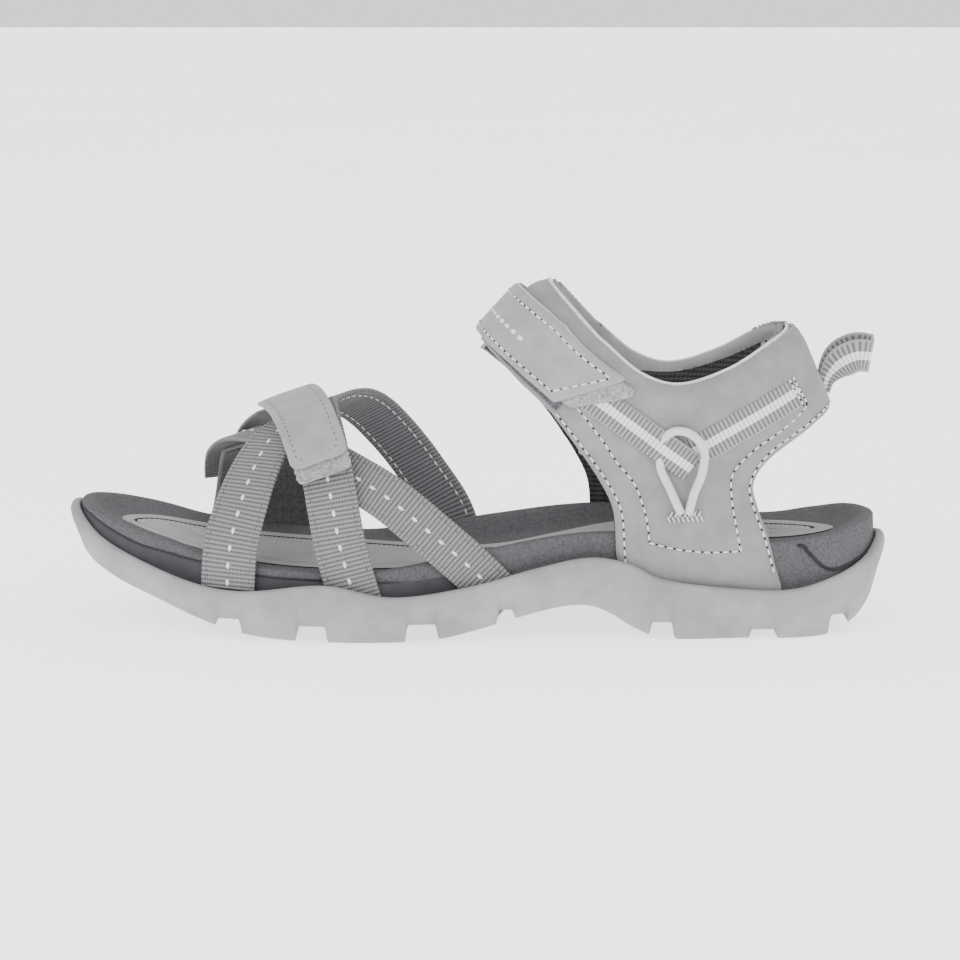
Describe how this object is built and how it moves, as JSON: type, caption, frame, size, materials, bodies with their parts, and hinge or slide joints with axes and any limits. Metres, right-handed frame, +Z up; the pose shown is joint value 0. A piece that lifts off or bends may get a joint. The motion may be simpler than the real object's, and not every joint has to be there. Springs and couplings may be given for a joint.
{
  "type": "sandal",
  "caption": "Women's left sport sandal: rubber cup sole, foam footbed, crossing webbing toe straps and a padded ankle upper, both closed by hook-and-loop tabs",
  "frame": {"origin": "on the ground under the middle of the sandal's overall box", "axes": "+X from toe to heel, -Y to the outer (lateral) side, +Z up"},
  "size_m": [0.2598, 0.0901, 0.1093],
  "materials": {
    "outsole_rubber": "matte light-grey rubber with fine texture",
    "footbed_foam": "matte dark-grey moulded foam",
    "inlay_foam": "matte light-grey ribbed foam",
    "shank_plastic": "hidden stiff plastic",
    "grey_webbing": "ribbed grey webbing with a broken white centre thread",
    "dark_tape": "dark woven tape",
    "dark_lining": "dark brushed textile",
    "mesh_lining": "dark ribbed mesh",
    "grey_synthetic": "smooth grey microfibre",
    "padding_foam": "soft open foam",
    "loop_pile": "loop pile",
    "hook_tape": "hook tape",
    "striped_ribbon": "grosgrain ribbon, grey with a white centre stripe",
    "white_elastic": "braided white elastic cord",
    "grey_thread": "thick sewing thread"
  },
  "bodies": {
    "sandal": {"outsole": "outsole_rubber", "footbed": "footbed_foam", "footbed_inlay": "inlay_foam", "shank_plate": "shank_plastic", "toe_strap_lining": "dark_tape", "toe_strap": "grey_webbing", "cross_strap": "grey_webbing", "middle_strap": "grey_webbing", "forefoot_loop_patch": "loop_pile", "adjuster_strap": "grey_webbing", "medial_toe_panel": "grey_synthetic", "toe_panel_lining": "dark_lining", "lateral_quarter": "grey_synthetic", "medial_quarter": "grey_synthetic", "collar_foam": "padding_foam", "quarter_lining": "mesh_lining", "ankle_strap": "grey_synthetic", "ankle_loop_patch": "loop_pile", "heel_ribbon": "striped_ribbon", "cord_loop": "white_elastic", "cord_bartack": "grey_thread"},
    "ankle_flap": {"ankle_tab": "grey_synthetic", "ankle_hook_patch": "hook_tape"},
    "forefoot_flap": {"forefoot_tab": "grey_synthetic", "forefoot_hook_patch": "hook_tape"},
    "pull_loop": {"pull_loop": "striped_ribbon"}
  },
  "joints": [
    {"name": "ankle_tab_opening", "type": "hinge", "parent": "sandal", "child": "ankle_flap", "pos_m": [0.0098, 0.009, 0.10045], "axis": [-0.6771, 0, -0.7359], "range_deg": [0, 110]},
    {"name": "forefoot_tab_opening", "type": "hinge", "parent": "sandal", "child": "forefoot_flap", "pos_m": [-0.06425, 0.00971, 0.06875], "axis": [-0.9017, -0.3344, -0.2743], "range_deg": [0, 100]},
    {"name": "pull_loop_swing", "type": "hinge", "parent": "sandal", "child": "pull_loop", "pos_m": [0.10839, -0.005, 0.07913], "axis": [-0.4092, 0, 0.9124], "range_deg": [-30, 30], "stiffness_Nm_per_rad": 0.0005}
  ]
}
